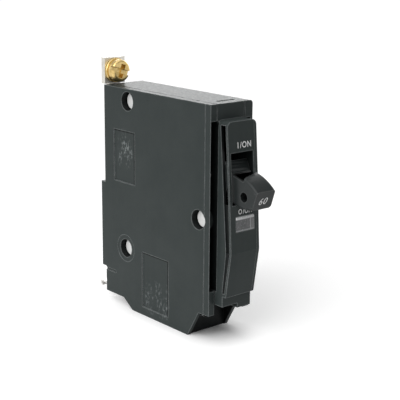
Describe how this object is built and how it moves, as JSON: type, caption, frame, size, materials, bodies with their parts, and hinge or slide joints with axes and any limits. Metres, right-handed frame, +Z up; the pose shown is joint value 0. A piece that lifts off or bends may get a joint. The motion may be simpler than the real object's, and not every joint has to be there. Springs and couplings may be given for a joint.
{
  "type": "single-pole circuit breaker",
  "caption": "Single-pole bolt-on circuit breaker with a toggle handle, trip window, line screw tab, load lug and a latching trip mechanism in a riveted case.",
  "frame": {"origin": "middle of the part's bounding box in width and depth, at the level of the foot", "axes": "+Z up from the foot to the line tab, -Y to the front where the handle is, +X across the pole to the right seen from the front"},
  "size_m": [0.019, 0.085, 0.0941],
  "materials": {
    "case_plastic": "satin moulded thermoset, charcoal grey",
    "handle_plastic": "satin moulded plastic, charcoal grey",
    "clear_plastic": "clear moulded pane",
    "flag_plastic": "red moulded plastic",
    "fibre_board": "pressed fibre",
    "rivet_steel": "bright plated",
    "pin_steel": "plated",
    "copper": "bare copper",
    "contact_silver": "silver alloy",
    "tinned_copper": "tinned, satin",
    "screw_brass": "bright dipped brass",
    "spring_steel": "bright spring steel",
    "stamped_steel": "stamped and plated",
    "magnet_steel": "dark soft iron",
    "bimetal_strip": "rolled strip",
    "lug_aluminium": "tinned extrusion"
  },
  "bodies": {
    "case": {"case_base": "case_plastic", "case_cover": "case_plastic", "rivets": "rivet_steel", "trip_window": "clear_plastic", "handle_pin": "pin_steel", "fixed_contact": "contact_silver", "line_terminal": "tinned_copper", "cradle_pin": "pin_steel", "armature_pin": "pin_steel", "armature_spring": "spring_steel", "yoke": "magnet_steel", "bimetal": "bimetal_strip", "calibration_screw": "pin_steel", "braid": "copper", "load_strap": "copper", "load_lug": "lug_aluminium", "arc_plates": "magnet_steel", "arc_boards": "fibre_board", "rail_clip": "spring_steel", "toggle_spring": "spring_steel"},
    "handle": {"handle": "handle_plastic", "blade_pin": "pin_steel"},
    "contact_arm": {"contact_arm": "copper", "moving_contact": "contact_silver"},
    "cradle": {"cradle": "stamped_steel"},
    "trip_flag": {"trip_flag": "flag_plastic"},
    "armature": {"armature": "magnet_steel"},
    "line_washer": {"line_washer": "screw_brass"},
    "line_screw": {"line_screw": "screw_brass"},
    "lug_pad": {"lug_pad": "pin_steel"},
    "lug_screw": {"lug_screw": "pin_steel"}
  },
  "joints": [
    {"name": "handle_throw", "type": "hinge", "parent": "case", "child": "handle", "pos_m": [0, -0.01967, 0.05935], "axis": [-1, 0, 0], "range_deg": [0, 30], "deforming": ["toggle_spring", "braid"]},
    {"name": "contact_arm_swing", "type": "hinge", "parent": "handle", "child": "contact_arm", "pos_m": [0, -0.00905, 0.0622], "axis": [1, 0, 0], "range_deg": [0, 56], "deforming": ["toggle_spring", "braid"]},
    {"name": "cradle_trip", "type": "hinge", "parent": "case", "child": "cradle", "pos_m": [0, -0.00967, 0.0765], "axis": [1, 0, 0], "range_deg": [0, 20], "deforming": ["toggle_spring"]},
    {"name": "trip_flag_rise", "type": "slide", "parent": "case", "child": "trip_flag", "axis": [0, 0, 1], "range_m": [0, 0.0059]},
    {"name": "armature_pull", "type": "hinge", "parent": "case", "child": "armature", "pos_m": [0, 0.01733, 0.0342], "axis": [1, 0, 0], "range_deg": [0, 5], "stiffness_Nm_per_rad": 0.05, "springref_deg": -2.86, "deforming": ["armature_spring"]},
    {"name": "line_washer_slide", "type": "slide", "parent": "case", "child": "line_washer", "axis": [0, -1, 0], "range_m": [0, 0.00198]},
    {"name": "line_screw_turn", "type": "hinge", "parent": "line_washer", "child": "line_screw", "pos_m": [-0.0045, 0.03533, 0.08925], "axis": [0, -1, 0], "range_deg": [0, 900]},
    {"name": "lug_pad_slide", "type": "slide", "parent": "case", "child": "lug_pad", "axis": [0, 1, 0], "range_m": [0, 0.0035]},
    {"name": "lug_screw_turn", "type": "hinge", "parent": "lug_pad", "child": "lug_screw", "pos_m": [0, -0.01167, 0.0075], "axis": [0, 1, 0], "range_deg": [0, 1260]}
  ],
  "couplings": [
    {"joint": "contact_arm_swing", "follows": "handle_throw", "ratio": 1.8667},
    {"joint": "trip_flag_rise", "follows": "cradle_trip", "m_per_rad": 0.0169},
    {"joint": "line_screw_turn", "follows": "line_washer_slide", "rad_per_m": 7915.8},
    {"joint": "lug_screw_turn", "follows": "lug_pad_slide", "rad_per_m": 6283.2}
  ]
}
